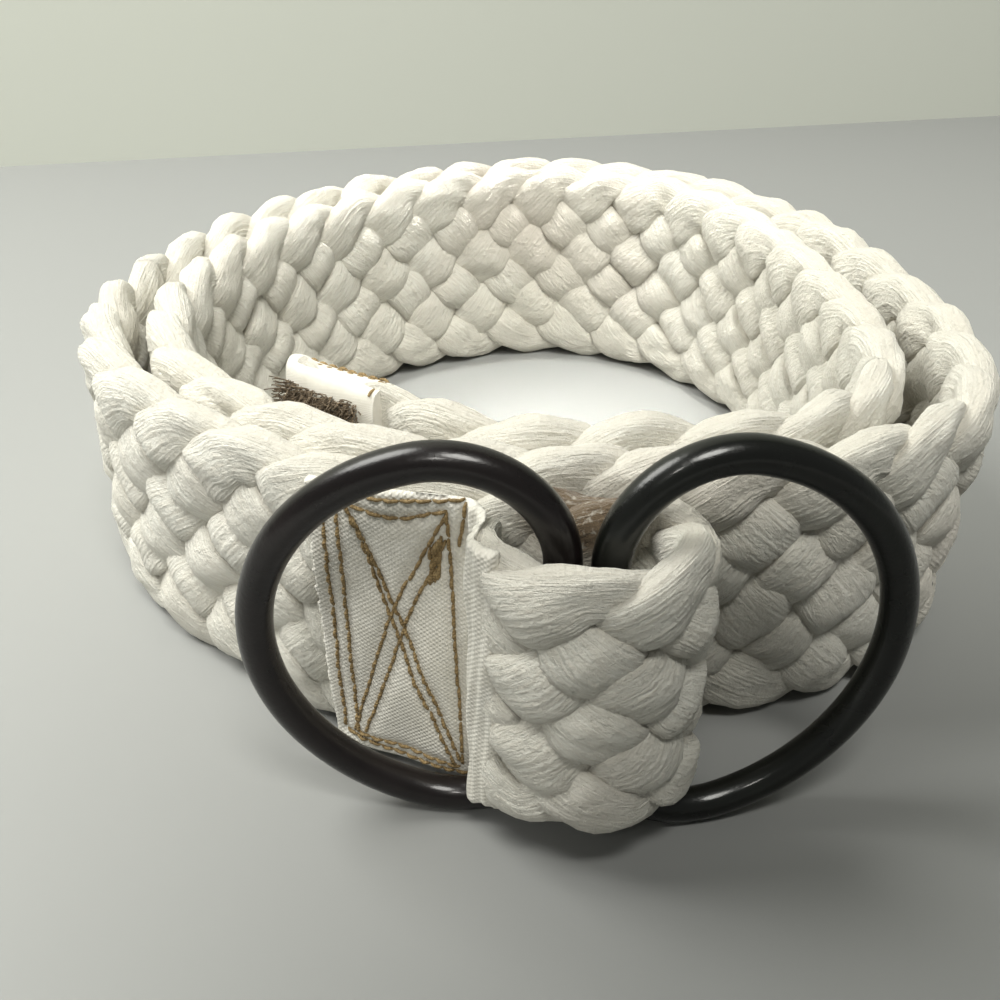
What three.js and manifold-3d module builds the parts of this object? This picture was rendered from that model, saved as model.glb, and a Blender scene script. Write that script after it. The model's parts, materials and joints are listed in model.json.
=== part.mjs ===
// A braided cotton belt with a double D-ring buckle, coiled a little over two turns and standing on its edge.
// Units are millimetres, +Z is up, and the floor is z = 0. The buckle faces -Y.
import * as THREE from 'three';
import { mergeVertices } from 'three/addons/utils/BufferGeometryUtils.js';
import Module from 'manifold-3d';

// Strap
const STRAP_WIDTH = 50;
const STRAP_THICKNESS = 7.4;
const SEWN_THICKNESS = 6.8; // under the tab and behind the rings, where the braid is pressed flat
const LOOP_THICKNESS = 5.6; // folded over the rings' bars
const LOOP_END_THICKNESS = 4.5; // the cut end, beside the tab
const TIP_THICKNESS = 4.6; // pressed and sewn inside the cap
const EDGE_ROUNDING = 2.2;
const CLEARANCE = 0.3;

// Canvas pieces and thread
const CANVAS = 1.2;
const CANVAS_INSET = 1.5; // the canvas stops this far short of the strap's edges
const CANVAS_HEIGHT = STRAP_WIDTH - 2 * CANVAS_INSET;
const TAB_LENGTH = 21.8;
const TIP_CAP_LENGTH = 18;
const THREAD = 0.4;
const STITCH_WIDTH = 0.7;
const ROW_SPACING = 2.4;
const SEAM_MARGIN = 1.8;

// D-rings: a round bow closed by a straight bar, with rounded corners
const WIRE_RADIUS = 2.4;
const RING_SLACK = 3.5;
const BOW_RADIUS = STRAP_WIDTH / 2 + RING_SLACK; // to the wire's centre line
const BAR_OFFSET = 10.2; // from the bow's centre to the bar
const CORNER_RADIUS = 14;
const WIRE_END_GAP = 0.4; // the bent wire's two ends face each other in the middle of the bar
const CORNER_HEIGHT = Math.sqrt((BOW_RADIUS - CORNER_RADIUS) ** 2 - (CORNER_RADIUS - BAR_OFFSET) ** 2);
const RING_HALF_HEIGHT = CORNER_HEIGHT + CORNER_RADIUS; // to the wire's centre line
const BAR_SPACING = 2 * WIRE_RADIUS + 1;
const BARS_TURN = -0.316; // the right bar stands this much in front of the left one, in radians
const LEFT_BAR = [3.5, -82.9];
const RIGHT_BAR = [
  LEFT_BAR[0] + BAR_SPACING * Math.cos(BARS_TURN),
  LEFT_BAR[1] + BAR_SPACING * Math.sin(BARS_TURN),
];

// The loop rests on the rings' wire, clear of the floor, and its top is a little lower than the rest of the strap.
const LOOP_LIFT = 2 * WIRE_RADIUS + 3.4;
const LOOP_TOP = STRAP_WIDTH - 1;

const COTTON = { color: 0xe9e4da, roughness: 0.95, metalness: 0 };
const CANVAS_WHITE = { color: 0xe6e1d6, roughness: 0.9, metalness: 0 };
const BROWN_THREAD = { color: 0x7a6238, roughness: 0.8, metalness: 0 };
const DARK_METAL = { color: 0x1f1a1a, roughness: 0.38, metalness: 0.85 };

// The strap's folded end, from its cut end beside the tab, in front of the rings' bars, round the fold and back
// behind them: the direction from between the two bars, in degrees, and the slack beyond both wires' thickness. The
// strap lies closer in where it crosses the bars side by side.
const LOOP_ROUTE = [
  [-188.4, 6.1],
  [-174.4, 3.71],
  [-144.1, 0.75],
  [-92.1, -0.6],
  [-49.6, 0.8],
  [-17.0, 3.32],
  [8.1, 5.88],
  [30.6, 5.35],
  [60.0, 1.87],
];

// One turn of the coil, clockwise from the buckle: x and y of the strap's middle, how far its top edge leans out past
// its bottom edge, and the gap that it leaves to the next turn inside it.
const TURN = [
  [-8, -72, 0, 1.3],
  [-25, -66, 3, 1.1],
  [-45, -52, 4, 0.8],
  [-64, -33, 2, 2.6],
  [-73, -7, -2, 3.6],
  [-67, 23, -5, 2.1],
  [-50, 50, -6, 0.6],
  [-22, 72, -6, 0.5],
  [10, 80, -6, 0.5],
  [40, 67, -5, 1.1],
  [60, 39, -4, 3.1],
  [68, 10, -2, 5.1],
  [71, -22, 0, 7.1],
  [63, -46, 4, 6.1],
  [44, -59, 5, 3.1],
  [22, -63, 4, 1.6],
];
const TURNS = 2;
const TIP_SPLAY = 4; // the capped inner end stands this much further in from the turn outside it

// Where one length of strap ends and the next begins, in stations along the route
const COIL = LOOP_ROUTE.length;
const INNER_END = COIL + TURNS * TURN.length;
const FOLD = 5.2;
const BACK_LEG = 7.2;
const BUCKLE_FLEX = COIL + 2;
const TIP_FLEX = INNER_END;
const TIP_END = INNER_END + 2.25;
const TAB_START = COIL - 0.07;

function blend(from, to, low, high, station) {
  return THREE.MathUtils.lerp(from, to, THREE.MathUtils.smoothstep(station, low, high));
}

function thicknessAt(station) {
  if (station < 2) return blend(LOOP_END_THICKNESS, LOOP_THICKNESS, 0, 2, station);
  if (station < COIL) return blend(LOOP_THICKNESS, SEWN_THICKNESS, BACK_LEG, COIL, station);
  if (station < TIP_FLEX) return blend(SEWN_THICKNESS, STRAP_THICKNESS, COIL + 1, BUCKLE_FLEX, station);
  return blend(STRAP_THICKNESS, TIP_THICKNESS, TIP_FLEX, TIP_FLEX + 1, station);
}

const stations = LOOP_ROUTE.map(([direction, slack]) => {
  const angle = THREE.MathUtils.degToRad(direction);
  const reach = 2 * WIRE_RADIUS + LOOP_THICKNESS / 2 + slack;
  return {
    x: (LEFT_BAR[0] + RIGHT_BAR[0]) / 2 + reach * Math.cos(angle),
    y: (LEFT_BAR[1] + RIGHT_BAR[1]) / 2 + reach * Math.sin(angle),
    lean: 0,
  };
});
for (let i = 0; i < TURNS * TURN.length + 4; i++) {
  const place = i % TURN.length;
  const [x, y, lean, gap] = TURN[place];
  const splay = COIL + i > INNER_END ? TIP_SPLAY : 0;
  let depth = splay;
  for (let outer = place; outer < i; outer += TURN.length) {
    depth += (thicknessAt(COIL + outer) + STRAP_THICKNESS) / 2 + gap;
  }
  const inward = new THREE.Vector2(-x, -y).setLength(depth);
  stations.push({ x: x + inward.x, y: y + inward.y, lean });
}
const LAST = stations.length - 1;

// The route and its lean run over the same stations, so a station number, whole or not, gives a place on both.
const route = new THREE.CatmullRomCurve3(stations.map((s) => new THREE.Vector3(s.x, s.y, 0)));
const leans = new THREE.SplineCurve(stations.map((s, i) => new THREE.Vector2(i, s.lean)));

function bottomAt(station) {
  return blend(LOOP_LIFT, 0, COIL - 1, COIL + 1, station);
}

function topAt(station) {
  return blend(LOOP_TOP, STRAP_WIDTH, COIL - 1, COIL + 1, station);
}

// The point at a station and a height, out from the strap's middle towards the outside of the coil.
function beside(station, out, z) {
  const share = THREE.MathUtils.clamp(station / LAST, 0, 1);
  const point = route.getPoint(share);
  const tangent = route.getTangent(share);
  const outward = new THREE.Vector3(-tangent.y, tangent.x, 0);
  const lean = leans.getPoint(share).y * (z / STRAP_WIDTH - 0.5);
  return point.addScaledVector(outward, out + lean).setZ(z);
}

// How many stations a length in millimetres covers around a station.
function stationsFor(length, station) {
  const perStation = beside(station - 0.05, 0, 0).distanceTo(beside(station + 0.05, 0, 0)) / 0.1;
  return length / perStation;
}

// Bends a box to the shape that place() gives for each of its corners' x, y and z.
function bend(box, place) {
  const position = box.getAttribute('position');
  for (let i = 0; i < position.count; i++) {
    const p = place(position.getX(i), position.getY(i), position.getZ(i));
    position.setXYZ(i, p.x, p.y, p.z);
  }
  box.computeVertexNormals();
  return box;
}

// A length of strap with rounded edges, between two stations.
function strapLength(from, to) {
  const gap = CLEARANCE / 2;
  const start = from === 0 ? from : from + stationsFor(gap, from);
  const end = to - stationsFor(gap, to);
  const steps = Math.ceil((end - start) * (start < COIL ? 2 : 3));
  const rows = 5;
  return bend(new THREE.BoxGeometry(end - start, 1, 1, steps, 1, rows), (x, y, z) => {
    const station = (start + end) / 2 + x;
    const row = Math.round((z + 0.5) * rows);
    const fromEdge = [0, 0.3, 1, 1, 0.3, 0][row] * EDGE_ROUNDING;
    const inset = EDGE_ROUNDING - Math.sqrt(EDGE_ROUNDING ** 2 - (EDGE_ROUNDING - fromEdge) ** 2);
    const height = z < 0 ? bottomAt(station) + fromEdge : topAt(station) - fromEdge;
    return beside(station, 2 * y * (thicknessAt(station) / 2 - inset), height);
  });
}

// A flat slab laid along the strap: its length and height in millimetres, its two faces by distance out.
function slab(start, length, inner, outer, bottom, top, steps = 6) {
  const box = new THREE.BoxGeometry(length, outer - inner, top - bottom, steps, 1, 1);
  return bend(box, (x, y, z) => {
    const along = stationsFor(x + length / 2, start);
    return beside(start + along, (inner + outer) / 2 + y, (bottom + top) / 2 + z);
  });
}

const wasm = await Module();
wasm.setup();

function toSolid(geometry) {
  const bare = geometry.clone();
  bare.deleteAttribute('normal');
  bare.deleteAttribute('uv');
  const merged = mergeVertices(bare, 1e-4);
  const vertProperties = new Float32Array(merged.getAttribute('position').array);
  const triVerts = new Uint32Array(merged.index.array);
  return new wasm.Manifold(new wasm.Mesh({ numProp: 3, vertProperties, triVerts }));
}

function toGeometry(solid) {
  const { vertProperties, triVerts } = solid.getMesh();
  const geometry = new THREE.BufferGeometry();
  geometry.setAttribute('position', new THREE.BufferAttribute(vertProperties, 3));
  geometry.setIndex(new THREE.BufferAttribute(triVerts, 1));
  geometry.computeVertexNormals();
  return geometry;
}

// A bent-wire D-ring: its bar stands on the local Z axis and its bow reaches out along +X.
function dRing() {
  const corner = Math.atan2(CORNER_HEIGHT, CORNER_RADIUS - BAR_OFFSET);
  const outline = new THREE.Path()
    .moveTo(0, WIRE_END_GAP / 2)
    .lineTo(0, CORNER_HEIGHT)
    .absarc(CORNER_RADIUS, CORNER_HEIGHT, CORNER_RADIUS, Math.PI, corner, true)
    .absarc(BAR_OFFSET, 0, BOW_RADIUS, corner, -corner, true)
    .absarc(CORNER_RADIUS, -CORNER_HEIGHT, CORNER_RADIUS, -corner, -Math.PI, true)
    .lineTo(0, -WIRE_END_GAP / 2);
  const points = outline.getSpacedPoints(72).map((p) => new THREE.Vector3(p.x, 0, p.y));
  const section = new THREE.Shape().absarc(0, 0, WIRE_RADIUS, 0, 2 * Math.PI);
  const extrudePath = new THREE.CatmullRomCurve3(points);
  return new THREE.ExtrudeGeometry(section, { steps: 72, curveSegments: 6, bevelEnabled: false, extrudePath });
}

const pieces = new THREE.Group();

function add(name, geometry, material) {
  const mesh = new THREE.Mesh(geometry, new THREE.MeshStandardMaterial(material));
  mesh.name = name;
  pieces.add(mesh);
  return mesh;
}

// The strap, from the buckle round to the inner end
const LENGTHS = [
  ['loop_front', 0, FOLD],
  ['loop_fold', FOLD, BACK_LEG],
  ['strap_behind_rings', BACK_LEG, COIL],
  ['strap_under_tab', COIL, BUCKLE_FLEX],
  ['strap_outer_left', BUCKLE_FLEX, COIL + 5],
  ['strap_outer_back', COIL + 5, COIL + 9],
  ['strap_outer_right', COIL + 9, COIL + 13],
  ['strap_outer_front', COIL + 13, COIL + 17],
  ['strap_inner_left', COIL + 17, COIL + 21],
  ['strap_inner_back', COIL + 21, COIL + 25],
  ['strap_inner_right', COIL + 25, COIL + 29],
  ['strap_inner_front', COIL + 29, TIP_FLEX],
  ['strap_tip', TIP_FLEX, TIP_END - stationsFor(CANVAS + CLEARANCE, TIP_END)],
];
for (const [name, from, to] of LENGTHS) add(name, strapLength(from, to), COTTON);

// The canvas tab on the strap's outer face, and its rows of thread
const tabInner = SEWN_THICKNESS / 2 + CLEARANCE;
const tabOuter = tabInner + CANVAS;
const tabBottom = CANVAS_INSET;
const tabTop = tabBottom + CANVAS_HEIGHT;
add('tab', slab(TAB_START, TAB_LENGTH, tabInner, tabOuter, tabBottom, tabTop), CANVAS_WHITE);

// A row of stitching on the tab between two points, each a distance along from the tab's right edge and a height.
// Each row is sewn over the one before it, and so lies a little higher.
function row([x1, z1], [x2, z2], index) {
  const length = Math.hypot(x2 - x1, z2 - z1) + STITCH_WIDTH;
  const tilt = Math.atan2(z2 - z1, x2 - x1);
  const inner = tabOuter + CLEARANCE / 3 + (THREAD / 20) * index;
  const strip = new THREE.BoxGeometry(length, THREAD, STITCH_WIDTH, 6, 1, 1).rotateY(-tilt);
  return bend(strip, (x, y, z) => {
    const along = stationsFor((x1 + x2) / 2 + x, TAB_START);
    return beside(TAB_START + along, inner + THREAD / 2 + y, (z1 + z2) / 2 + z);
  });
}

const right = SEAM_MARGIN;
const left = TAB_LENGTH - SEAM_MARGIN;
const low = tabBottom + SEAM_MARGIN;
const high = tabTop - SEAM_MARGIN;
const rows = [
  [[right, low], [left, low]],
  [[right, high], [left, high]],
  [[right, low], [right, high]],
  [[left, low], [left, high]],
  [[right, low + ROW_SPACING], [left - ROW_SPACING, low + ROW_SPACING]],
  [[right, high - ROW_SPACING], [left - ROW_SPACING, high - ROW_SPACING]],
  [[left - ROW_SPACING, low + ROW_SPACING], [left - ROW_SPACING, high - ROW_SPACING]],
  [[right, low + ROW_SPACING], [left - ROW_SPACING, high - 2 * ROW_SPACING]],
  [[right, low + 2 * ROW_SPACING], [left - ROW_SPACING, high - ROW_SPACING]],
  [[right, high - ROW_SPACING], [left - ROW_SPACING, low + 2 * ROW_SPACING]],
  [[right, high - 2 * ROW_SPACING], [left - ROW_SPACING, low + ROW_SPACING]],
].map(([from, to], index) => row(from, to, index));
add('tab_stitching', toGeometry(rows.map(toSolid).reduce((a, b) => a.add(b))), BROWN_THREAD);

// The canvas cap folded round the inner end, open at its top and bottom, and the thread along its inner side
const capStart = TIP_END - stationsFor(TIP_CAP_LENGTH, TIP_END);
const capInner = TIP_THICKNESS / 2 + CLEARANCE;
const capOuter = capInner + CANVAS;
const capBottom = CANVAS_INSET;
const capTop = capBottom + CANVAS_HEIGHT;
const capBlock = slab(capStart, TIP_CAP_LENGTH, -capOuter, capOuter, capBottom, capTop);
const capRoom = slab(
  capStart - stationsFor(1, capStart),
  TIP_CAP_LENGTH + 1 - CANVAS,
  -capInner,
  capInner,
  capBottom - 1,
  capTop + 1,
);
add('tip_cap', toGeometry(toSolid(capBlock).subtract(toSolid(capRoom))), CANVAS_WHITE);

const capRow = capOuter + CLEARANCE / 3;
const seam = slab(
  capStart + stationsFor(SEAM_MARGIN, capStart),
  STITCH_WIDTH,
  -capRow - THREAD,
  -capRow,
  capBottom + SEAM_MARGIN,
  capTop - SEAM_MARGIN,
  1,
);
const topRow = slab(
  capStart + stationsFor(SEAM_MARGIN, capStart),
  TIP_CAP_LENGTH - 2 * SEAM_MARGIN,
  -capRow - THREAD,
  -capRow,
  capTop - SEAM_MARGIN - STITCH_WIDTH,
  capTop - SEAM_MARGIN,
);
add('tip_stitching', toGeometry(toSolid(seam).add(toSolid(topRow))), BROWN_THREAD);

// The two D-rings stand on the floor with their bars side by side in the loop. turn is about the vertical, and
// lean brings the top forward.
function placeRing(name, [x, y], turn, lean) {
  const ring = add(name, dRing(), DARK_METAL);
  ring.position.set(x, y, RING_HALF_HEIGHT * Math.cos(lean) + WIRE_RADIUS);
  ring.rotation.set(lean, 0, turn, 'ZXY');
}
const degrees = THREE.MathUtils.degToRad;
placeRing('d_ring_left', LEFT_BAR, degrees(176), degrees(-3.5));
placeRing('d_ring_right', RIGHT_BAR, degrees(10), 0);

// The origin is on the floor, under the middle of the belt's overall box.
const box = new THREE.Box3().setFromObject(pieces, true);
const middle = box.getCenter(new THREE.Vector3());
pieces.position.set(-middle.x, -middle.y, -box.min.z);

const belt = new THREE.Group();
belt.add(pieces);
export default belt;
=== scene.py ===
"""The looks of a braided cotton belt with a double D-ring buckle, coiled on its edge.

Shapes are worked out in millimetres along the frame's own axes, and turned into metres as each mesh is made.
"""

import json
import math

import bpy
import numpy as np
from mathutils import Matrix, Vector


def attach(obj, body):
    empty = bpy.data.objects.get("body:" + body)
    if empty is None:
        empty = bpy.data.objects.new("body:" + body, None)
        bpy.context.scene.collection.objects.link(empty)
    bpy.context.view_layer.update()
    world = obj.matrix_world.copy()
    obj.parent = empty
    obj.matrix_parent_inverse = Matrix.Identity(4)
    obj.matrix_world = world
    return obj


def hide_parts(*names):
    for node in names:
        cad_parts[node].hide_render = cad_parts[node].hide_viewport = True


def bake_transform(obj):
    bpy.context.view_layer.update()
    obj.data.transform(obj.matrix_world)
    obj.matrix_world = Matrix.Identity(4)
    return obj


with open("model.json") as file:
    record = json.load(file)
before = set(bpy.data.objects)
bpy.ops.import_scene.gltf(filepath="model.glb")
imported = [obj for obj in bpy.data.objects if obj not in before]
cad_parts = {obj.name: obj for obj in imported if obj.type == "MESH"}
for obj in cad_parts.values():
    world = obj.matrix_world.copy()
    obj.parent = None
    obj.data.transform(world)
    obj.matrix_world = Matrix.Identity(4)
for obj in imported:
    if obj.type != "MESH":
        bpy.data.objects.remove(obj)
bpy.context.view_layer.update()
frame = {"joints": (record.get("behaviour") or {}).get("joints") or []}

MM = 0.001
random = np.random.default_rng(7)

# The strap's route, after the CAD model's: x and y of the folded end, which here starts against the tab
LOOP_ROUTE = [
    (-3.9, -78.4),
    (-5.3, -82),
    (-4.4, -85.6),
    (-0.5, -88.7),
    (6, -90.8),
    (11.7, -90.2),
    (16.7, -87),
    (19.6, -81.9),
    (17.4, -77.2),
    (11, -75.6),
]
# One turn of the coil: x, y, how far the top edge leans out, and how far inside it the next turn lies
TURN = [
    (-8, -72, 0, 8.5),
    (-25, -66, 3, 8.4),
    (-45, -52, 4, 8.2),
    (-64, -33, 2, 10),
    (-73, -7, -2, 11),
    (-67, 23, -5, 9.5),
    (-50, 50, -6, 8),
    (-22, 72, -6, 7.9),
    (10, 80, -6, 7.9),
    (40, 67, -5, 8.5),
    (60, 39, -4, 10.5),
    (68, 10, -2, 12.5),
    (71, -22, 0, 14.5),
    (63, -46, 4, 13.5),
    (44, -59, 5, 10.5),
    (22, -63, 4, 9),
]
TURNS = 2
TIP_STATIONS = 4  # stations past the last turn, for the inner end
TIP_SPLAY = 4  # how much further in the inner end stands
OPEN_STEP = 11  # the loop's, where no turn lies close inside it

# Where the rings' bars stand on the same axes
LEFT_RING = (3.5, -82.9)
RIGHT_RING = (9.013, -84.702)

# Station numbers, counted from 0 at the cut end
COIL = len(LOOP_ROUTE)  # the coil begins
INNER_END = COIL + TURNS * len(TURN)  # the inner end leaves it, and bends
TIP_END = INNER_END + 2.25
BUCKLE_FLEX = COIL + 2  # the bend beside the buckle
LEFT_SIDE = COIL + 4.5  # the buckle's strands meet the turns', well past that bend
TIP_SIDE = INNER_END - 3  # the turns' strands meet the inner end's

# Strap and braid
LOOP_START = 0.5  # the cut end is wrapped in the tab's canvas
STRAP_WIDTH = 50
LOOP_BOTTOM, LOOP_TOP = 6.9, 49
STRANDS = 7
ZIGZAG = 94  # length of strap in which a strand crosses to the far edge and back
STRAP_HALF = 4.1  # half the braid's thickness where nothing presses on it
SEWN_HALF = 3.5  # under the tab, and where two turns press on each other
LOOP_HALF = 3.4
LOOP_END_HALF = 2.3  # at the cut end, pressed under the canvas
TIP_HALF = 2.1  # sewn inside the cap
TURN_CLEARANCE = 0.1  # left beside the strap where two turns touch
STRAND_HALF_WIDTH = 5.7
STRAND_LENGTH = 1.45  # a strand's own length for each length of strap
YARNS = 40  # ridges round a strand
YARN_HEIGHT = 0.09  # how far a ridge stands out
CRINKLE_HEIGHT = 0.38
STEP = 1.15  # length of strap between a strand's sections

joint_place = {j["name"]: Vector(j["pos_m"]) / MM for j in frame["joints"]}
shift = joint_place["right_ring_swing"] - Vector((*RIGHT_RING, 0))
SHIFT = np.array([shift.x, shift.y])


# ---------------------------------------------------------------- the strap's route


def route_points():
    """The stations: x, y, how far the top edge leans out, and how far inside it the next turn lies."""
    points = [(x, y, 0, OPEN_STEP) for x, y in LOOP_ROUTE]
    for i in range(TURNS * len(TURN) + TIP_STATIONS):
        x, y, lean, step = TURN[i % len(TURN)]
        splay = TIP_SPLAY if COIL + i > INNER_END else 0
        inward = (step * (i // len(TURN)) + splay) / math.hypot(x, y)
        points.append((x * (1 - inward), y * (1 - inward), lean, step))
    return np.array(points, float)


def catmull_rom(points, t):
    """The centripetal spline through points, at the station numbers t."""
    ends = np.vstack([2 * points[0] - points[1], points, 2 * points[-1] - points[-2]])
    i = np.clip(np.floor(t).astype(int), 0, len(points) - 2)
    f = (t - i)[:, None]
    a, b, c, d = (ends[i + k] for k in range(4))
    ab, bc, cd = (np.sqrt(np.linalg.norm(q - p, axis=1))[:, None] for p, q in ((a, b), (b, c), (c, d)))
    m1 = ((b - a) / ab - (c - a) / (ab + bc) + (c - b) / bc) * bc
    m2 = ((c - b) / bc - (d - b) / (bc + cd) + (d - c) / cd) * bc
    return b + m1 * f + (3 * (c - b) - 2 * m1 - m2) * f**2 + (2 * (b - c) + m1 + m2) * f**3


stations = route_points()
fine = np.linspace(0, len(stations) - 1, 60 * (len(stations) - 1) + 1)
line = catmull_rom(stations[:, :2], fine) + SHIFT
along = np.concatenate([[0], np.cumsum(np.linalg.norm(np.diff(line, axis=0), axis=1))])
tangent = np.gradient(line, along, axis=0)


def distance_at(station):
    """The distance along the strap of a station, in millimetres."""
    return float(np.interp(station, fine, along))


def station_at(s):
    """The station number at a distance along the strap."""
    return np.interp(s, along, fine)


def smooth(x, low, high):
    """A smooth step from 0 at low to 1 at high."""
    t = np.clip((x - low) / (high - low), 0, 1)
    return t * t * (3 - 2 * t)


def place(s, out, z):
    """Points s along the strap, out from its middle to the outside of the coil, at height z."""
    x, y = (np.interp(s, along, line[:, k]) for k in (0, 1))
    tx, ty = (np.interp(s, along, tangent[:, k]) for k in (0, 1))
    lean = np.interp(station_at(s), range(len(stations)), stations[:, 2]) * (z / STRAP_WIDTH - 0.5)
    return np.stack([x - ty * (out + lean), y + tx * (out + lean), z + 0 * x], -1)


def edges_at(s):
    """The strap's lowest and highest edge: it is bunched on the rings' wire in the loop."""
    share = smooth(station_at(s), COIL - 1, COIL + 1)
    return LOOP_BOTTOM * (1 - share), LOOP_TOP + (STRAP_WIDTH - LOOP_TOP) * share


def half_thickness(s):
    """Half the braid's thickness: pressed flat in the loop and under the tab, and where two turns touch."""
    station = station_at(s)
    room = np.interp(station, range(len(stations)), stations[:, 3]) / 2 - TURN_CLEARANCE
    free = np.clip(room, SEWN_HALF, STRAP_HALF)
    free = free + (TIP_HALF - free) * smooth(station, INNER_END, INNER_END + 1)
    pressed = LOOP_END_HALF + (LOOP_HALF - LOOP_END_HALF) * smooth(station, 1, 3)
    return pressed + (free - pressed) * smooth(station, COIL + 1, BUCKLE_FLEX)


# ---------------------------------------------------------------- meshes


def piece(name, points, faces, material, corner_uv, smooth_faces):
    """A mesh object from points in millimetres, lists of faces and a UV for each face's corners."""
    mesh = bpy.data.meshes.new(name)
    mesh.from_pydata((points * MM).tolist(), [], faces)
    layer = mesh.uv_layers.new(name="yarn")
    layer.data.foreach_set("uv", corner_uv.astype(np.float32).ravel())
    mesh.polygons.foreach_set("use_smooth", smooth_faces)
    mesh.materials.append(material)
    made = bpy.data.objects.new(name, mesh)
    bpy.context.scene.collection.objects.link(made)
    return made


def tube_quads(rings, sides):
    """The quads between a tube's rings of points."""
    r, q = np.meshgrid(np.arange(rings - 1), np.arange(sides), indexing="ij")
    following = (q + 1) % sides
    near, far = r * sides, (r + 1) * sides
    return np.stack([near + q, near + following, far + following, far + q], -1).reshape(-1, 4)


def tube_uv(lengths, sides, around):
    """A tube's UVs: 0 to around about it, and lengths, one for each ring, along it. The caps have none."""
    r, q = np.meshgrid(np.arange(len(lengths) - 1), np.arange(sides), indexing="ij")
    u = np.stack([q, q + 1, q + 1, q], -1) / sides * around
    v = np.stack([lengths[r], lengths[r], lengths[r + 1], lengths[r + 1]], -1)
    return np.concatenate([np.stack([u, v], -1).reshape(-1, 2), np.zeros((2 * sides, 2))])


def tubes(name, all_sections, all_lengths, material, around=1.0):
    """One mesh of closed tubes, each through sections of rings by sides by 3, with flat caps."""
    points, faces, uvs, smooth_faces, base = [], [], [], [], 0
    for sections, lengths in zip(all_sections, all_lengths):
        rings, sides, _ = sections.shape
        quads = tube_quads(rings, sides) + base
        last = base + rings * sides - 1
        faces.extend(quads.tolist())
        faces.append(list(range(base, base + sides)))
        faces.append(list(range(last, last - sides, -1)))
        smooth_faces.extend([True] * len(quads) + [False, False])
        uvs.append(tube_uv(lengths, sides, around))
        points.append(sections.reshape(-1, 3))
        base += rings * sides
    return piece(name, np.concatenate(points), faces, material, np.concatenate(uvs), np.array(smooth_faces))


def attribute(made, name, values):
    """Gives a mesh a value at each of its points, for its material to read."""
    layer = made.data.attributes.new(name, "FLOAT", "POINT")
    layer.data.foreach_set("value", np.asarray(values, np.float32).ravel())


def wander(x, wavelength, rows=1):
    """Smooth random waves over x, about -1 to 1, one row for each of rows."""
    total = np.zeros((rows, len(x)))
    for octave in (1, 1.7, 2.9):
        phase = random.uniform(0, 2 * math.pi, (rows, 1))
        total += np.sin(2 * math.pi * octave * x[None, :] / wavelength + phase) / octave
    return total / 1.9


# ---------------------------------------------------------------- materials


# How far apart the canvas's threads lie
CANVAS_THREAD_ACROSS = 0.42
CANVAS_THREAD_UP = 0.36


def new_material(name):
    """A material, its node tree and its shader."""
    material = bpy.data.materials.new(name)
    material.use_nodes = True
    tree = material.node_tree
    return material, tree, tree.nodes["Principled BSDF"]


def add_node(tree, kind, **settings):
    """A node with its properties, or else its inputs, set by name."""
    node = tree.nodes.new(kind)
    for key, value in settings.items():
        if hasattr(node, key):
            setattr(node, key, value)
        else:
            node.inputs[key.replace("_", " ")].default_value = value
    return node


def mix_colour(tree, share, a, b):
    """The colour between a and b: each is a colour or a socket, and share is a socket."""
    mix = tree.nodes.new("ShaderNodeMix")
    mix.data_type = "RGBA"
    tree.links.new(share, mix.inputs["Factor"])
    for socket, value in (("A", a), ("B", b)):
        target = next(i for i in mix.inputs if i.name == socket and i.type == "RGBA")
        if isinstance(value, tuple):
            target.default_value = (*value, 1)
        else:
            tree.links.new(value, target)
    return next(o for o in mix.outputs if o.type == "RGBA")


def maths(tree, operation, a, b=0.0, clamp=False):
    node = tree.nodes.new("ShaderNodeMath")
    node.operation = operation
    node.use_clamp = clamp
    for socket, value in zip(node.inputs, (a, b)):
        if isinstance(value, (int, float)):
            socket.default_value = value
        else:
            tree.links.new(value, socket)
    return node.outputs[0]


def bump(tree, shader, height, strength, distance):
    node = add_node(tree, "ShaderNodeBump", Strength=strength, Distance=distance)
    tree.links.new(height, node.inputs["Height"])
    tree.links.new(node.outputs["Normal"], shader.inputs["Normal"])


def noise(tree, vector, scale, detail=3.0, roughness=0.55, distortion=0.0):
    node = add_node(
        tree, "ShaderNodeTexNoise", Scale=scale, Detail=detail, Roughness=roughness, Distortion=distortion
    )
    tree.links.new(vector, node.inputs["Vector"])
    return node.outputs["Fac"]


def stored(tree, name):
    """The value that attribute() gave the mesh."""
    return add_node(tree, "ShaderNodeAttribute", attribute_name=name).outputs["Fac"]


def ramp(tree, value, low, high):
    """A socket's value turned into 0 at low and 1 at high."""
    node = tree.nodes.new("ShaderNodeMapRange")
    node.inputs["From Min"].default_value = low
    node.inputs["From Max"].default_value = high
    tree.links.new(value, node.inputs["Value"])
    return node.outputs["Result"]


def red_of(tree, colour):
    split = tree.nodes.new("ShaderNodeSeparateColor")
    tree.links.new(colour, split.inputs[0])
    return split.outputs[0]


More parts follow.
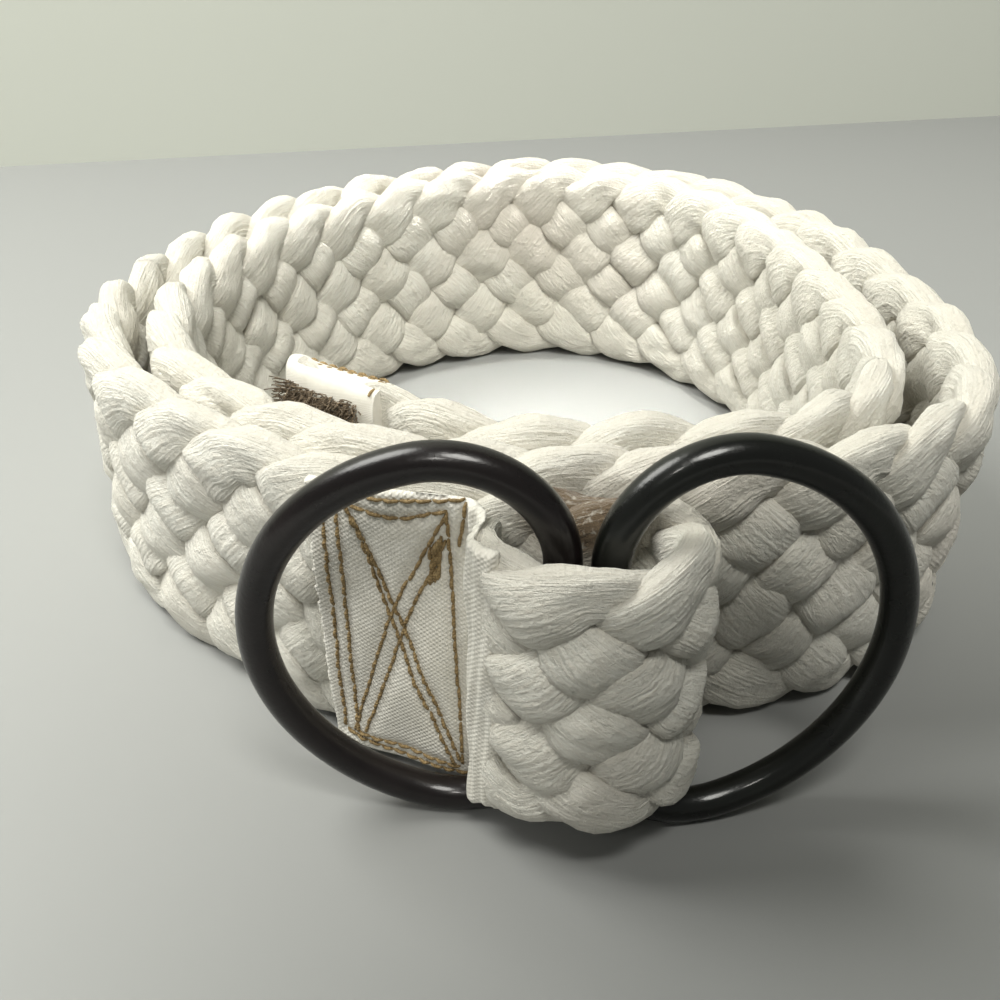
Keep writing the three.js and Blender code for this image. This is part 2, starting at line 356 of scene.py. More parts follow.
def cotton_material():
    """Fuzzy off-white cotton: pinkish patches, painted shade in its crevices, a stain and a few specks."""
    material, tree, shader = new_material("cotton_braid")
    place_socket = tree.nodes.new("ShaderNodeTexCoord").outputs["Object"]
    uv = add_node(tree, "ShaderNodeUVMap", uv_map="yarn").outputs["UV"]
    patches = noise(tree, place_socket, 28, 2)
    colour = mix_colour(tree, ramp(tree, patches, 0.35, 0.65), (0.83, 0.805, 0.71), (0.87, 0.855, 0.775))
    pink = noise(tree, place_socket, 19, 1)
    colour = mix_colour(tree, ramp(tree, pink, 0.62, 0.85), colour, (0.80, 0.70, 0.62))
    colour = mix_colour(tree, stored(tree, "strand_tint"), colour, (0.77, 0.735, 0.65))
    fibres = noise(tree, place_socket, 900, 2)
    stretch = add_node(tree, "ShaderNodeMapping")
    stretch.inputs["Scale"].default_value = (1.5, 0.3, 1)  # drawn out along the strand
    tree.links.new(uv, stretch.inputs["Vector"])
    streaks = noise(tree, stretch.outputs["Vector"], 1, 3, 0.6, 0.8)
    fuzz = noise(tree, place_socket, 1100, 5, 0.75)
    wisps = noise(tree, place_socket, 420, 3, 0.6)
    colour = mix_colour(tree, ramp(tree, streaks, 0.62, 0.25), colour, (0.72, 0.68, 0.59))
    # Painted shade: darker in the valleys between the yarns and at each strand's sides, where it tucks under
    colour = mix_colour(tree, stored(tree, "valley"), colour, (0.58, 0.54, 0.46))
    stain_edge = maths(tree, "MULTIPLY", stored(tree, "stain"), ramp(tree, fibres, 0.1, 0.45), True)
    colour = mix_colour(tree, stain_edge, colour, (0.14, 0.095, 0.05))
    specks = tree.nodes.new("ShaderNodeTexVoronoi")
    specks.inputs["Scale"].default_value = 75
    tree.links.new(place_socket, specks.inputs["Vector"])
    chosen = maths(tree, "GREATER_THAN", red_of(tree, specks.outputs["Color"]), 0.985)
    dot = maths(tree, "LESS_THAN", specks.outputs["Distance"], 0.035)
    colour = mix_colour(tree, maths(tree, "MULTIPLY", chosen, dot), colour, (0.05, 0.04, 0.03))
    tree.links.new(colour, shader.inputs["Base Color"])
    shader.inputs["Roughness"].default_value = 0.92
    shader.inputs["Specular IOR Level"].default_value = 0.25
    shader.inputs["Sheen Weight"].default_value = 0.25
    shader.inputs["Sheen Roughness"].default_value = 0.6
    height = maths(tree, "ADD", maths(tree, "MULTIPLY", streaks, 0.65), fuzz)
    height = maths(tree, "ADD", height, maths(tree, "MULTIPLY", wisps, 1.2))
    bump(tree, shader, height, 0.9, 0.0007)
    return material


def canvas_material():
    """Off-white woven canvas, with its threads running along and across the strap."""
    material, tree, shader = new_material("canvas")
    place_socket = tree.nodes.new("ShaderNodeTexCoord").outputs["Object"]
    uv = add_node(tree, "ShaderNodeUVMap", uv_map="yarn").outputs["UV"]
    split = tree.nodes.new("ShaderNodeSeparateXYZ")
    tree.links.new(uv, split.inputs[0])
    across = maths(tree, "SINE", maths(tree, "MULTIPLY", split.outputs["X"], math.pi / CANVAS_THREAD_ACROSS))
    up = maths(tree, "SINE", maths(tree, "MULTIPLY", split.outputs["Y"], math.pi / CANVAS_THREAD_UP))
    crossings = maths(tree, "MULTIPLY", across, up)
    ribs = maths(tree, "ABSOLUTE", across)
    slubs = noise(tree, place_socket, 420, 3)
    height = maths(tree, "MULTIPLY", crossings, 0.35)
    height = maths(tree, "ADD", height, maths(tree, "MULTIPLY", ribs, 0.25))
    height = maths(tree, "ADD", height, slubs)
    patches = noise(tree, place_socket, 60, 2)
    colour = mix_colour(tree, ramp(tree, patches, 0.35, 0.7), (0.80, 0.775, 0.705), (0.75, 0.72, 0.64))
    colour = mix_colour(tree, ramp(tree, slubs, 0.35, 1.0), colour, (0.62, 0.59, 0.51))
    colour = mix_colour(tree, stored(tree, "stain"), colour, (0.42, 0.33, 0.20))
    tree.links.new(colour, shader.inputs["Base Color"])
    shader.inputs["Roughness"].default_value = 0.88
    shader.inputs["Specular IOR Level"].default_value = 0.25
    shader.inputs["Sheen Weight"].default_value = 0.15
    bump(tree, shader, height, 0.5, 0.0003)
    return material


def thread_material(name, colour_dark, colour_light):
    """Twisted sewing thread."""
    material, tree, shader = new_material(name)
    place_socket = tree.nodes.new("ShaderNodeTexCoord").outputs["Object"]
    uv = add_node(tree, "ShaderNodeUVMap", uv_map="yarn").outputs["UV"]
    split = tree.nodes.new("ShaderNodeSeparateXYZ")
    tree.links.new(uv, split.inputs[0])
    slant = maths(tree, "ADD", split.outputs["X"], maths(tree, "MULTIPLY", split.outputs["Y"], 1.6))
    twist = maths(tree, "SINE", maths(tree, "MULTIPLY", slant, 2 * math.pi))
    fibres = noise(tree, place_socket, 1400, 3)
    colour = mix_colour(tree, ramp(tree, fibres, 0.3, 0.7), colour_dark, colour_light)
    tree.links.new(colour, shader.inputs["Base Color"])
    shader.inputs["Roughness"].default_value = 0.75
    bump(tree, shader, maths(tree, "ADD", twist, fibres), 0.5, 0.0001)
    return material


def metal_material(name, dark, worn):
    """Nearly black lacquered metal, a little paler where it is worn."""
    material, tree, shader = new_material(name)
    place_socket = tree.nodes.new("ShaderNodeTexCoord").outputs["Object"]
    grain = noise(tree, place_socket, 1600, 4, 0.65)
    patches = noise(tree, place_socket, 70, 4, 0.6)
    colour = mix_colour(tree, ramp(tree, patches, 0.45, 0.75), dark, worn)
    tree.links.new(colour, shader.inputs["Base Color"])
    roughness = maths(tree, "ADD", maths(tree, "MULTIPLY", patches, 0.16), 0.2)
    tree.links.new(roughness, shader.inputs["Roughness"])
    shader.inputs["Metallic"].default_value = 0.15
    shader.inputs["Specular IOR Level"].default_value = 0.35
    shader.inputs["Coat Weight"].default_value = 0.22
    shader.inputs["Coat Roughness"].default_value = 0.12
    bump(tree, shader, grain, 0.35, 0.00012)
    return material


COTTON = cotton_material()
CANVAS = canvas_material()
THREAD = thread_material("thread", (0.16, 0.105, 0.04), (0.34, 0.24, 0.11))
# Brown thread, made darker than the sewing thread with painted shade of the gap beside the cap
TUFT = thread_material("frayed_thread", (0.06, 0.042, 0.026), (0.24, 0.18, 0.115))
METAL_LEFT = metal_material("dark_metal_left", (0.007, 0.005, 0.005), (0.014, 0.010, 0.010))
METAL_RIGHT = metal_material("dark_metal_right", (0.005, 0.0055, 0.0045), (0.010, 0.011, 0.009))


# ---------------------------------------------------------------- the braid


def weave(phase):
    """A strand's place at a phase of its zigzag: across the strap and over or under, each -1 to 1.

    It goes over one strand and under the next, and once from face to face at each edge.
    """
    roundness = 0.93  # 1 would turn it sharply at the edges
    across = np.arcsin(roundness * np.sin(2 * math.pi * (phase - 0.25))) / math.asin(roundness)
    crossing = (phase % 1) * 2 * STRANDS
    leg = np.where(crossing < STRANDS, -1, 1)
    over = leg * np.cos(math.pi * crossing)
    near_far_edge = np.abs(crossing - STRANDS) < 1
    over = np.where(near_far_edge, np.sin(math.pi / 2 * (crossing - STRANDS)), over)
    over = np.where(crossing < 1, np.sin(math.pi / 2 * crossing), over)
    over = np.where(crossing > 2 * STRANDS - 1, np.sin(math.pi / 2 * (crossing - 2 * STRANDS)), over)
    return across, over


# How much each yarn stands out, and how the strands differ, the same all along the belt
yarn_height = random.uniform(0.6, 1.4, (STRANDS, YARNS))
yarn_wave = random.uniform(9, 22, (STRANDS, YARNS))
strand_tint = random.uniform(0, 0.5, STRANDS)
CRINKLES = 9


def crinkle():
    """A wave over a strand: its length, how often it goes round the strand, and its phase."""
    return random.uniform(4, 13), random.uniform(-5, 5), random.uniform()


crinkles = [[crinkle() for _ in range(CRINKLES)] for _ in range(STRANDS)]

# Slow changes along each strand, each an array of strands by millimetres
fine_s = np.arange(0, distance_at(TIP_END) + 20, 1.0)
unevenness = wander(fine_s, 43, STRANDS)
lag = wander(fine_s, 57, STRANDS)
offset_across = wander(fine_s, 31, STRANDS)
fullness = wander(fine_s, 29, STRANDS)
yarn_drift = wander(fine_s, 37, STRANDS)

# A brown stain on the coil's top edge, behind the rings
STAIN_MIDDLE = np.array([7.5, -72, 47.5])
STAIN_REACH = np.array([9.5, 8, 9])


def strand_middle(k, s):
    """The middle of strand k, flat: along, out and across, with its half width and half thickness."""
    phase = s / ZIGZAG + k / STRANDS + 0.011 * np.interp(s, fine_s, lag[k])
    across, over = weave(phase)
    edge = np.abs(across) ** 6
    rising = np.tanh(2.5 * np.cos(2 * math.pi * (phase - 0.25)))
    wide = STRAND_HALF_WIDTH * (0.9 + 0.1 * over**2) * (1 - 0.2 * edge) * (1 + 0.07 * rising)
    wide *= 1 + 0.13 * np.interp(s, fine_s, unevenness[k])
    half = half_thickness(s)
    thick = half * (0.5 + 0.18 * edge) * (1 + 0.12 * np.interp(s, fine_s, fullness[k]))
    run = STRAP_WIDTH / 2 - STRAND_HALF_WIDTH * 0.82
    centre_across = across * run + (1 - edge) * np.interp(s, fine_s, offset_across[k])
    return np.stack([s, over * (half - thick), centre_across], -1), wide, thick


def strand_sections(k, s):
    """Strand k's rings of points at distances s, flat: along, out and across, and painted shade by depth."""
    middle, wide, thick = strand_middle(k, s)
    direction = strand_middle(k, s + 0.5)[0] - strand_middle(k, s - 0.5)[0]
    direction /= np.linalg.norm(direction, axis=1)[:, None]
    sideways = np.cross(direction, [0.0, 1.0, 0.0])
    sideways /= np.linalg.norm(sideways, axis=1)[:, None]
    outward = np.cross(sideways, direction)
    sides = 3 * YARNS  # a valley and two points of ridge for each yarn
    q = np.arange(sides)
    angle = 2 * math.pi * q / sides + 0.10 * np.interp(s, fine_s, yarn_drift[k])[:, None]
    valley = (q % 3 == 0).astype(float)
    rise_and_fall = 1 + 0.5 * np.sin(2 * math.pi * s[:, None] / yarn_wave[k] + 9 * yarn_height[k])
    ridge = (1 - valley) * np.repeat(yarn_height[k] * rise_and_fall, 3, axis=1)
    cos, sin = np.cos(angle), np.sin(angle)
    x = np.sign(cos) * np.abs(cos) ** 0.85 * wide[:, None]
    y = np.sign(sin) * np.abs(sin) ** 0.66 * thick[:, None]
    raised = (ridge - 0.75) * YARN_HEIGHT + CRINKLE_HEIGHT * crinkled(k, s[:, None], angle)
    swell = 1 + raised / np.maximum(np.hypot(x, y), 1.2)
    x, y = x * swell, y * swell
    ring = middle[:, None] + x[..., None] * sideways[:, None] + y[..., None] * outward[:, None]
    bottom, top = edges_at(s)
    scale = (top - bottom) / STRAP_WIDTH
    ring[..., 2] = (bottom + top)[:, None] / 2 + ring[..., 2] * scale[:, None]
    # Painted shade for each point: a little in the yarns' valleys, more at the strand's tucked-under sides
    return ring, 0.12 * valley + 0.5 * np.abs(cos) ** 9


def crinkled(k, s, angle):
    """Soft crinkles over strand k, about -1 to 1."""
    waves = [
        np.sin(2 * math.pi * (s / length + phase) + np.round(turns_round) * angle)
        for length, turns_round, phase in crinkles[k]
    ]
    return sum(waves) / 4


def strand(name, k, start, end, clean_start=False, clean_end=False):
    """Strand k from start to end along the strap. A clean end is cut square across the strap."""
    count = max(4, int(round((end - start) / STEP)) + 1)
    s = np.linspace(start, end, count)
    ring, valley = strand_sections(k, s)
    if clean_start:
        ring[..., 0] = np.maximum(ring[..., 0], start)
    if clean_end:
        ring[..., 0] = np.minimum(ring[..., 0], end)
    flat = ring.reshape(-1, 3)
    points = place(flat[:, 0], flat[:, 1], flat[:, 2]).reshape(ring.shape)
    made = tubes(name, [points], [s * STRAND_LENGTH], COTTON, YARNS)
    # The painted shade of valleys and tucked-under sides, for the cotton to darken
    attribute(made, "valley", valley)
    attribute(made, "strand_tint", np.full(valley.shape, strand_tint[k]))
    off = np.linalg.norm((points.reshape(-1, 3) - STAIN_MIDDLE) / STAIN_REACH, axis=1)
    attribute(made, "stain", np.clip(2 * (1.1 - off), 0, 1))
    return made


def braid(name, start, end, nodes, **ends):
    """All strands of one length of the strap, in place of the CAD nodes there."""
    made = []
    for k in range(STRANDS):
        one = strand(f"{name}_strand_{k + 1}", k, start, end, **ends)
        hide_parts(*nodes)
        made.append(one)
    return made


buckle = braid(
    "buckle",
    LOOP_START,
    distance_at(LEFT_SIDE),
    ["loop_front", "loop_fold", "strap_behind_rings", "strap_under_tab"],
    clean_start=True,
)
for one in buckle:
    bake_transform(one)

turns = braid(
    "turns",
    distance_at(LEFT_SIDE),
    distance_at(TIP_SIDE),
    [
        "strap_outer_left",
        "strap_outer_back",
        "strap_outer_right",
        "strap_outer_front",
        "strap_inner_left",
        "strap_inner_back",
        "strap_inner_right",
    ],
)
for one in turns:
    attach(one, "coil")

tip = braid(
    "tip",
    distance_at(TIP_SIDE),
    distance_at(TIP_END) - 3,
    ["strap_inner_front", "strap_tip"],
    clean_end=True,
)
for one in tip:
    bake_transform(one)


# ---------------------------------------------------------------- canvas and stitching

TAB_START = distance_at(COIL + 0.07)
TAB_OUT = SEWN_HALF + 1.4  # the canvas's outer face
TAB_BACK = TAB_OUT - 1.1  # and its inner one
TAB_LEFT, TAB_RIGHT = 19.2, -2.6  # its edges, from TAB_START on
TAB_LOW, TAB_HIGH = 1.6, 48.7
STITCH = 2.0  # a stitch's length
STITCH_RADIUS = 0.26
THREAD_TWIST = 0.35  # of the thread's ply, from one section to the next

# The canvas goes on from the tab's right edge, forward round the strap's cut end and a little way over the
# loop: x and y of its outer face
WRAP = [(-6.7, -79.6), (-7.6, -82.8), (-8.1, -85.0), (-6.3, -87.3), (-4.6, -88.4)]
tab_edge = place(np.array([TAB_START + TAB_RIGHT]), np.array([TAB_OUT]), np.zeros(1))[0, :2]
wrap_stations = np.vstack([tab_edge, np.array(WRAP) + SHIFT])
wrap_line = catmull_rom(wrap_stations, np.linspace(0, len(WRAP), 80))
wrap_along = np.concatenate([[0], np.cumsum(np.linalg.norm(np.diff(wrap_line, axis=0), axis=1))])
wrap_tangent = np.gradient(wrap_line, wrap_along, axis=0)
WRAP_LENGTH = wrap_along[-1]

# Rows of stitching, each a curve through points: distance along the strap from TAB_START, and height
ROWS = [
    [(15.9, 45.5), (16.4, 24), (17.2, 4.2)],
    [(14.1, 46.0), (14.4, 24), (14.9, 4.2)],
    [(12.8, 46.2), (8.4, 30.1), (5.2, 17.6), (-0.1, 3.4)],
    [(12.2, 44.0), (7.2, 30.1), (3.6, 17.6), (-0.9, 4.6)],
    [(0.1, 46.6), (6.9, 32.0), (12.2, 15.5), (15.4, 4.4)],
    [(0.4, 42.4), (5.9, 28.6), (10.4, 14.6), (13.7, 4.8)],
    [(0.0, 46.9), (-0.5, 26), (-1.2, 4.0)],
    [(-2.2, 48.3), (-1.9, 45), (-1.4, 41.5)],
    [(14.0, 47.9), (6.0, 47.6), (-2.1, 48.6)],
    [(12.4, 46.0), (6.5, 44.9), (0.1, 46.9)],
    [(17.1, 4.0), (8.4, 2.9), (-1.9, 2.4)],
    [(14.8, 4.4), (6.9, 4.2), (-0.8, 3.4)],
]


def row_points(row, spacing):
    """Points the spacing apart on the smooth curve through a row's points."""
    t = np.linspace(0, len(row) - 1, 200)
    curve = catmull_rom(np.array(row, float), t)
    length = np.concatenate([[0], np.cumsum(np.linalg.norm(np.diff(curve, axis=0), axis=1))])
    count = max(2, int(round(length[-1] / spacing)) + 1)
    marks = np.linspace(0, length[-1], count)
    return np.stack([np.interp(marks, length, curve[:, k]) for k in (0, 1)], -1)


def tab_out(a, z):
    """How far out the tab's face lies: pulled in along its stitches and edges, and softly domed between."""
    pull = np.zeros_like(a)
    for row in ROWS:
        for along_row, up_row in row_points(row, 1.2):
            pull = np.maximum(pull, np.exp(-((a - along_row) ** 2 + (z - up_row) ** 2) / 0.9))
    low, high = tab_edges(a)
    edge = np.minimum.reduce([a - TAB_RIGHT + WRAP_LENGTH, TAB_LEFT - a, z - low, high - z])
    roll = 1 - np.sqrt(np.clip(1 - (1 - np.clip(edge / 0.9, 0, 1)) ** 2, 0, 1))
    puff = 0.25 * np.sin(a * 0.55 + z * 0.13) * np.sin(z * 0.21 + 0.6)
    creases = 0.3 * np.sin(a * 2.1 + 0.8 * np.sin(z * 0.23)) * np.sin(z * 0.31 + a) * smooth(-a, 1, 3)
    return TAB_OUT + puff + creases - 0.42 * pull - 0.8 * roll


def tab_edges(a):
    """The canvas's lower and upper edge: over the loop it follows the loop's edges."""
    share = smooth(TAB_RIGHT - a, 0, WRAP_LENGTH)
    low = TAB_LOW + (LOOP_BOTTOM + 0.4 - TAB_LOW) * share
    high = TAB_HIGH + (LOOP_TOP - 0.3 - TAB_HIGH) * share
    return low, high


def tab_place(a, out, z):
    """Points on the tab, and beyond its right edge on the canvas wrapped round the cut end."""
    on_strap = place(TAB_START + np.maximum(a, TAB_RIGHT), out, z)
    beyond = np.maximum(TAB_RIGHT - a, 0)
    x, y = (np.interp(beyond, wrap_along, wrap_line[:, k]) for k in (0, 1))
    tx, ty = (np.interp(beyond, wrap_along, wrap_tangent[:, k]) for k in (0, 1))
    wrapped = np.stack([x + ty * (out - TAB_OUT), y - tx * (out - TAB_OUT), z], -1)
    return np.where((beyond > 0)[:, None], wrapped, on_strap)


def tab():
    """The canvas sheet over the strap and round its cut end, with a thickness and a closed rim."""
    columns, rows = 100, 140
    a, up = np.meshgrid(
        np.linspace(TAB_RIGHT - WRAP_LENGTH, TAB_LEFT, columns), np.linspace(0, 1, rows), indexing="ij"
    )
    low, high = tab_edges(a)
    z = low + (high - low) * up
    ragged = 0.18 * np.sin(z * 1.9) + 0.12 * np.sin(z * 4.3 + 1)
    a = a + np.where(a > TAB_LEFT - 0.1, ragged, 0) - 0.08 * np.maximum(a, 0) * up
    face = tab_out(a, z)
    front = tab_place(a.ravel(), face.ravel(), z.ravel())
    back = tab_place(a.ravel(), np.full(a.size, TAB_BACK), z.ravel())
    points = np.concatenate([front, back])
    grid = np.arange(columns * rows).reshape(columns, rows)
    quads = np.stack([grid[:-1, :-1], grid[:-1, 1:], grid[1:, 1:], grid[1:, :-1]], -1).reshape(-1, 4)
    behind = quads[:, ::-1] + columns * rows
    rim = np.concatenate([grid[:, 0], grid[-1, 1:], grid[-2::-1, -1], grid[0, -2:0:-1]])
    following = np.roll(rim, -1)
    sides = np.stack([rim, following, following + columns * rows, rim + columns * rows], -1)
    faces = np.concatenate([quads, behind, sides])
    uv_point = np.concatenate([np.stack([a.ravel(), z.ravel()], -1)] * 2)
    made = piece(
        "canvas_tab", points, faces.tolist(), CANVAS, uv_point[faces.ravel()], np.ones(len(faces), bool)
    )
    attribute(made, "stain", np.zeros(len(points)))
    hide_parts("tab")
    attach(made, "buckle_end")


def thread_sections(path, normals, radius):
    """The rings of points round a short thread's path."""
    direction = np.gradient(path, axis=0)
    direction /= np.linalg.norm(direction, axis=1)[:, None]
    sideways = np.cross(direction, normals)
    sideways /= np.linalg.norm(sideways, axis=1)[:, None]
    up = np.cross(sideways, direction)
    angle = np.linspace(0, 2 * math.pi, 8, endpoint=False)
    ring = np.cos(angle)[:, None] * sideways[:, None] + np.sin(angle)[:, None] * up[:, None]
    return path[:, None] + ring * radius[:, None, None]


def threads(name, all_sections, material):
    """One mesh of many short threads."""
    all_lengths = [np.arange(len(sections)) * THREAD_TWIST for sections in all_sections]
    return tubes(name, all_sections, all_lengths, material)


def stitches_on(rows, surface):
    """Every stitch of the rows, on a surface: a function of two coordinates and a distance above it."""
    stitches = []
    for row in rows:
        marks = row_points(row, STITCH)
        for a, b in zip(marks[:-1], marks[1:]):
            t = np.linspace(0.02, 0.98, 9)[:, None]
            jitter = random.normal(0, 0.07, 2)
            flat = a * (1 - t) + b * t + jitter
            rise = -0.22 + 0.52 * np.sin(math.pi * t[:, 0]) ** 0.6  # its ends dive into the cloth
            path = surface(flat[:, 0], flat[:, 1], rise)
            normal = surface(flat[:, 0], flat[:, 1], rise + 1) - path
            radius = STITCH_RADIUS * (0.55 + 0.45 * np.sin(math.pi * t[:, 0]) ** 0.5)
            stitches.append(thread_sections(path, normal, radius))
    return stitches


def on_tab(a, z, rise):
    return place(TAB_START + a, tab_out(a, z) + rise, z)


tab()
# A small tack of five rows close together, near the crossed box's top corner
TACK = [[(0.9 + 0.32 * i, 43.2 - 0.5 * i), (1.3 + 0.32 * i, 36.4 - 0.3 * i)] for i in range(5)]
tab_thread = threads("tab_thread", stitches_on(ROWS + TACK, on_tab), THREAD)
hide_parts("tab_stitching")
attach(tab_thread, "buckle_end")


# The canvas cap: a flattened sleeve folded over the strap's inner end
CAP_LENGTH = 19
CAP_HALF = 3.5
CAP_LOW, CAP_HIGH = 1.6, 49.0
CAP_CLOSING = 2.2  # the length in which the sleeve narrows to its folded end
CAP_WEAVE = 110  # the sleeve's way round, as its weave counts it
CAP_START = distance_at(TIP_END) - CAP_LENGTH


def cap():
    """The sleeve round the strap, which narrows to its folded end."""
    rings, sides = 46, 72
    t = np.linspace(0, 1, rings)
    s = CAP_START + CAP_LENGTH * np.sin(t * math.pi / 2) ** 0.9
    past = np.clip((s - CAP_START - CAP_LENGTH + CAP_CLOSING) / CAP_CLOSING, 0, 1)
    closing = np.sqrt(np.clip(1 - past**2, 0, 1))
    half = (CAP_HALF - 0.6 * smooth(t, 0, 0.7)) * np.maximum(closing, 0.04)
    angle = np.linspace(0, 2 * math.pi, sides, endpoint=False)
    out = np.sign(np.cos(angle)) * np.abs(np.cos(angle)) ** 0.5 * half[:, None]
    tall = (CAP_HIGH - CAP_LOW) / 2 * np.sign(np.sin(angle)) * np.abs(np.sin(angle)) ** 0.22
    z = (CAP_HIGH + CAP_LOW) / 2 + tall * (1 - 0.01 * (1 - closing[:, None]))
    distance = np.broadcast_to(s[:, None], out.shape)
    points = place(distance.ravel(), out.ravel(), z.ravel()).reshape(rings, sides, 3)
    made = tubes("canvas_cap", [points], [s], CANVAS, CAP_WEAVE)
    attribute(made, "stain", np.zeros(rings * sides))
    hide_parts("tip_cap")
    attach(made, "inner_end")


cap()


def on_cap(a, out, rise):
    """Points on the cap's top edge."""
    return place(CAP_START + a, out, CAP_HIGH - 0.45 + rise)


# Its rows of stitching: distance along from CAP_START, and how far out from the strap's middle
CAP_ROWS = [
    [(1.0, -2.3), (8, -2.1), (16.0, -1.5)],
    [(0.8, -1.4), (8, -1.3), (14.0, -0.8)],
    [(1.0, -2.3), (1.1, 0.2), (1.0, 2.6)],
]
cap_thread = threads("cap_thread", stitches_on(CAP_ROWS, on_cap), THREAD)
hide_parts("tip_stitching")
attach(cap_thread, "inner_end")


TUFT_FIBRES = 600


def tuft():
    """Frayed ends of brown thread along the cap's outer side, darkened with painted shade."""
    fibres = []
    for _ in range(TUFT_FIBRES):
        a = random.uniform(3, 16)
        height = random.uniform(41.5, 46.8)
        start = np.array([CAP_START + a, CAP_HALF - 0.5, height])
        reach = random.uniform(2.0, 4.6) * (0.55 + 0.45 * a / 16)
        heading = np.array([random.uniform(-0.7, 0.7), random.uniform(0.5, 1.0), random.uniform(-0.5, 0.35)])
        t = np.linspace(0, 1, 6)[:, None]
        curl = np.sin(t * math.pi * random.uniform(0.4, 1.3)) * random.uniform(-0.7, 0.7)
        flat = start + heading * t * reach + curl * [0.5, 0.1, 0.5]
        path = place(flat[:, 0], flat[:, 1], flat[:, 2])
        radius = np.full(6, random.uniform(0.05, 0.1))
        fibres.append(thread_sections(path, np.broadcast_to([0.0, 0.0, 1.0], path.shape), radius))
    made = threads("cap_tuft", fibres, TUFT)
    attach(made, "inner_end")


tuft()


# ---------------------------------------------------------------- the rings

WIRE_RADIUS = 2.4
BOW_RADIUS = 28.5
BAR_OFFSET = 10.2  # from the bar to the bow's centre
CORNER_RADIUS = 14
WIRE_GAP = 0.4  # between the wire's two ends, in the bar's middle
BOW_POINTS = 110
WIRE_SIDES = 28


def arc(x, z, radius, start, end, count):
    angle = np.linspace(start, end, count)
    return np.stack([x + radius * np.cos(angle), z + radius * np.sin(angle)], -1)


def ring_line():
    """The wire's middle in the ring's own plane, from end to end, and half the ring's height along it."""
    corner_height = math.sqrt((BOW_RADIUS - CORNER_RADIUS) ** 2 - (CORNER_RADIUS - BAR_OFFSET) ** 2)
    turn = math.atan2(corner_height, CORNER_RADIUS - BAR_OFFSET)
    bar = np.stack([np.zeros(12), np.linspace(WIRE_GAP / 2, corner_height, 12)], -1)
    corner = arc(CORNER_RADIUS, corner_height, CORNER_RADIUS, math.pi, turn, 30)
    bow = arc(BAR_OFFSET, 0, BOW_RADIUS, turn, -turn, BOW_POINTS)
    half = np.concatenate([bar, corner[1:], bow[1 : BOW_POINTS // 2]])
    middle = np.array([[BAR_OFFSET + BOW_RADIUS, 0.0]])
    return np.concatenate([half, middle, (half * [1, -1])[::-1]]), corner_height + CORNER_RADIUS


def ring(name, node, body, foot, turn, lean, material):
    """A ring on its bar: turned in plan and leaning, both in degrees."""
    wire, half_height = ring_line()
    heading = np.gradient(wire, axis=0)
    heading /= np.linalg.norm(heading, axis=1)[:, None]
    side = np.stack([heading[:, 1], -heading[:, 0]], -1)
    angle = np.linspace(0, 2 * math.pi, WIRE_SIDES, endpoint=False)
    worn = 1 + 0.012 * wander(np.arange(len(wire)) * 1.0, 40)[0]
    flat = wire[:, None] + side[:, None] * (WIRE_RADIUS * np.cos(angle))[None, :, None] * worn[:, None, None]
    x, z = flat[..., 0], flat[..., 1]
    y = np.broadcast_to(WIRE_RADIUS * np.sin(angle), x.shape)
    turn, lean = math.radians(turn), math.radians(lean)
    y, z = y * math.cos(lean) - z * math.sin(lean), y * math.sin(lean) + z * math.cos(lean)
    x, y = x * math.cos(turn) - y * math.sin(turn), x * math.sin(turn) + y * math.cos(turn)
    foot_x, foot_y = foot[0] + SHIFT[0], foot[1] + SHIFT[1]
    placed = np.stack([x + foot_x, y + foot_y, z + half_height * math.cos(lean) + WIRE_RADIUS], -1)
    middle = placed.mean(1)
    lengths = np.concatenate([[0], np.cumsum(np.linalg.norm(np.diff(middle, axis=0), axis=1))])
    made = tubes(name, [placed], [lengths], material)
    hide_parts(node)
    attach(made, body)


ring("ring_left", "d_ring_left", "left_ring", LEFT_RING, turn=176, lean=-3.5, material=METAL_LEFT)
ring("ring_right", "d_ring_right", "right_ring", RIGHT_RING, turn=10, lean=0, material=METAL_RIGHT)


# ---------------------------------------------------------------- stage, lights and camera


def plain_material(name, colour, roughness):
    """Paint or paper with faint, broad patches."""
    material, tree, shader = new_material(name)
    place_socket = tree.nodes.new("ShaderNodeTexCoord").outputs["Object"]
    shade = noise(tree, place_socket, 3, 2)
    darker = tuple(c * 0.96 for c in colour)
    tree.links.new(mix_colour(tree, shade, colour, darker), shader.inputs["Base Color"])
    shader.inputs["Roughness"].default_value = roughness
    shader.inputs["Specular IOR Level"].default_value = 0.2
    return material


def card(name, size, location, rotation, material):
    bpy.ops.mesh.primitive_plane_add(size=size, location=location, rotation=rotation)
    made = bpy.context.object
    made.name = name
    made.data.materials.append(material)
    return made


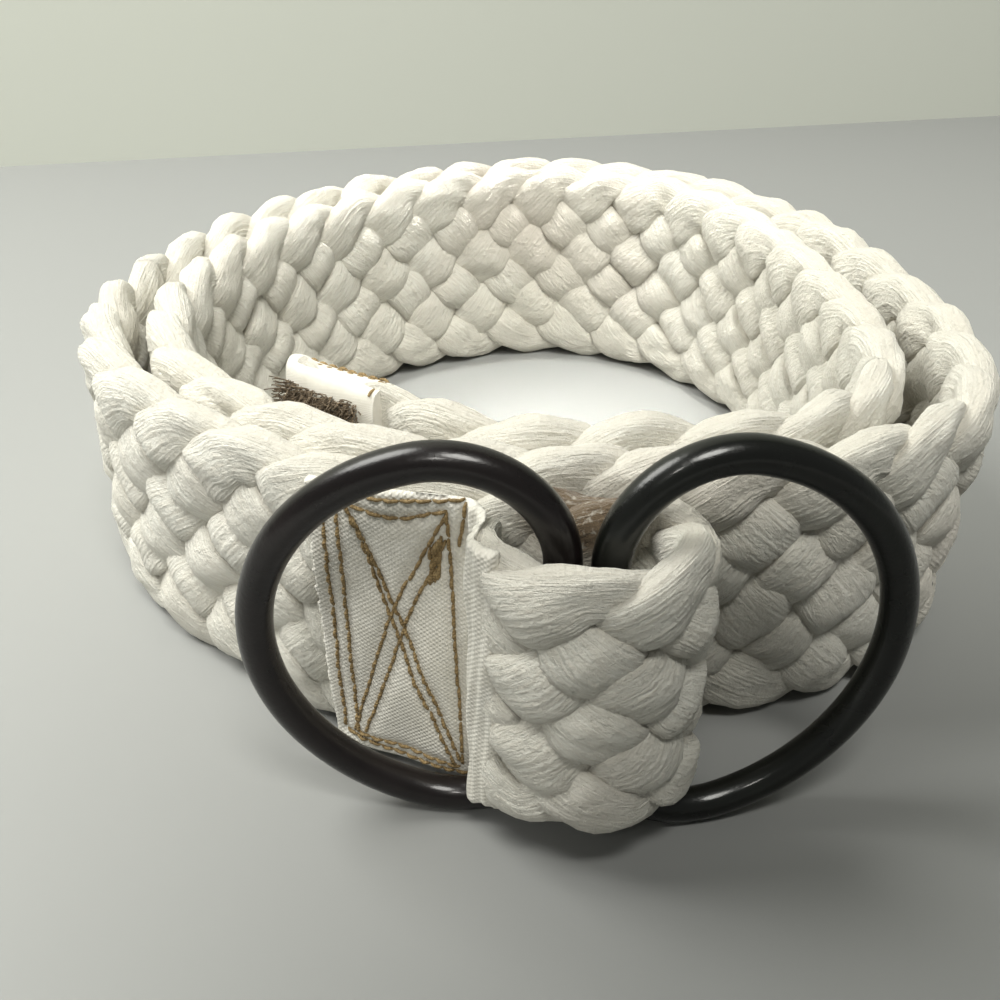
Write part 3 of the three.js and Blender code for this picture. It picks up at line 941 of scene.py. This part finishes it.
def stage():
    paper = plain_material("paper", (0.30, 0.304, 0.297), 0.7)
    wall = plain_material("wall", (0.52, 0.535, 0.48), 0.9)
    dark = plain_material("dark_card", (0.03, 0.03, 0.03), 0.9)
    floor = card("floor", 6, (0, 0, 0), (0, 0, 0), paper)
    backdrop = card("backdrop", 6, (0, 0.296, 0), (math.pi / 2, 0, math.radians(11.4)), wall)
    # It darkens the front right, as someone standing there does
    shade = card("shade", 0.30, (0.12, -0.20, 0.11), (math.radians(85), 0, 0.1), dark)
    shade.visible_camera = False
    shade.visible_glossy = False


def area_light(name, at, towards, size, power, colour, spread=math.pi):
    """A round light at a place in metres, facing another."""
    data = bpy.data.lights.new(name, "AREA")
    data.shape = "DISK"
    data.size = size
    data.energy = power
    data.color = colour
    data.spread = spread
    light = bpy.data.objects.new(name, data)
    light.location = at
    light.rotation_euler = (Vector(towards) - Vector(at)).to_track_quat("-Z", "Y").to_euler()
    bpy.context.scene.collection.objects.link(light)


def lights():
    """Daylight from the left, a small lamp in front, a narrow beam into the coil, a broad ceiling light."""
    area_light("window", (-0.42, 0.06, 0.55), (0, 0.02, 0.02), 0.4, 4.9, (1.0, 1.0, 0.955))
    area_light("lamp", (-0.14, -0.56, 0.52), (0, -0.08, 0.04), 0.09, 0.8, (1.0, 0.98, 0.92))
    area_light("overhead", (0, 0.03, 0.45), (0, 0.03, 0), 0.03, 0.035, (1.0, 0.99, 0.94), math.radians(18))
    area_light("ceiling", (0.10, -0.65, 1.1), (0, 0, 0), 0.5, 16.0, (1.0, 0.995, 0.94))
    world = bpy.data.worlds.new("studio")
    world.use_nodes = True
    background = world.node_tree.nodes["Background"]
    background.inputs["Color"].default_value = (0.95, 0.98, 0.93, 1)
    background.inputs["Strength"].default_value = 0.22
    bpy.context.scene.world = world


CAMERA_PLACE = (-0.00277, -0.18636, 0.1196)
CAMERA_DOWN = 32  # degrees below level


def camera():
    data = bpy.data.cameras.new("camera")
    data.lens = 39.6
    data.sensor_width = 36
    made = bpy.data.objects.new("camera", data)
    made.location = CAMERA_PLACE
    made.rotation_euler = (math.radians(90 - CAMERA_DOWN), 0, 0)
    bpy.context.scene.collection.objects.link(made)
    bpy.context.scene.camera = made


stage()
lights()
camera()
bpy.context.scene.view_settings.view_transform = "Standard"
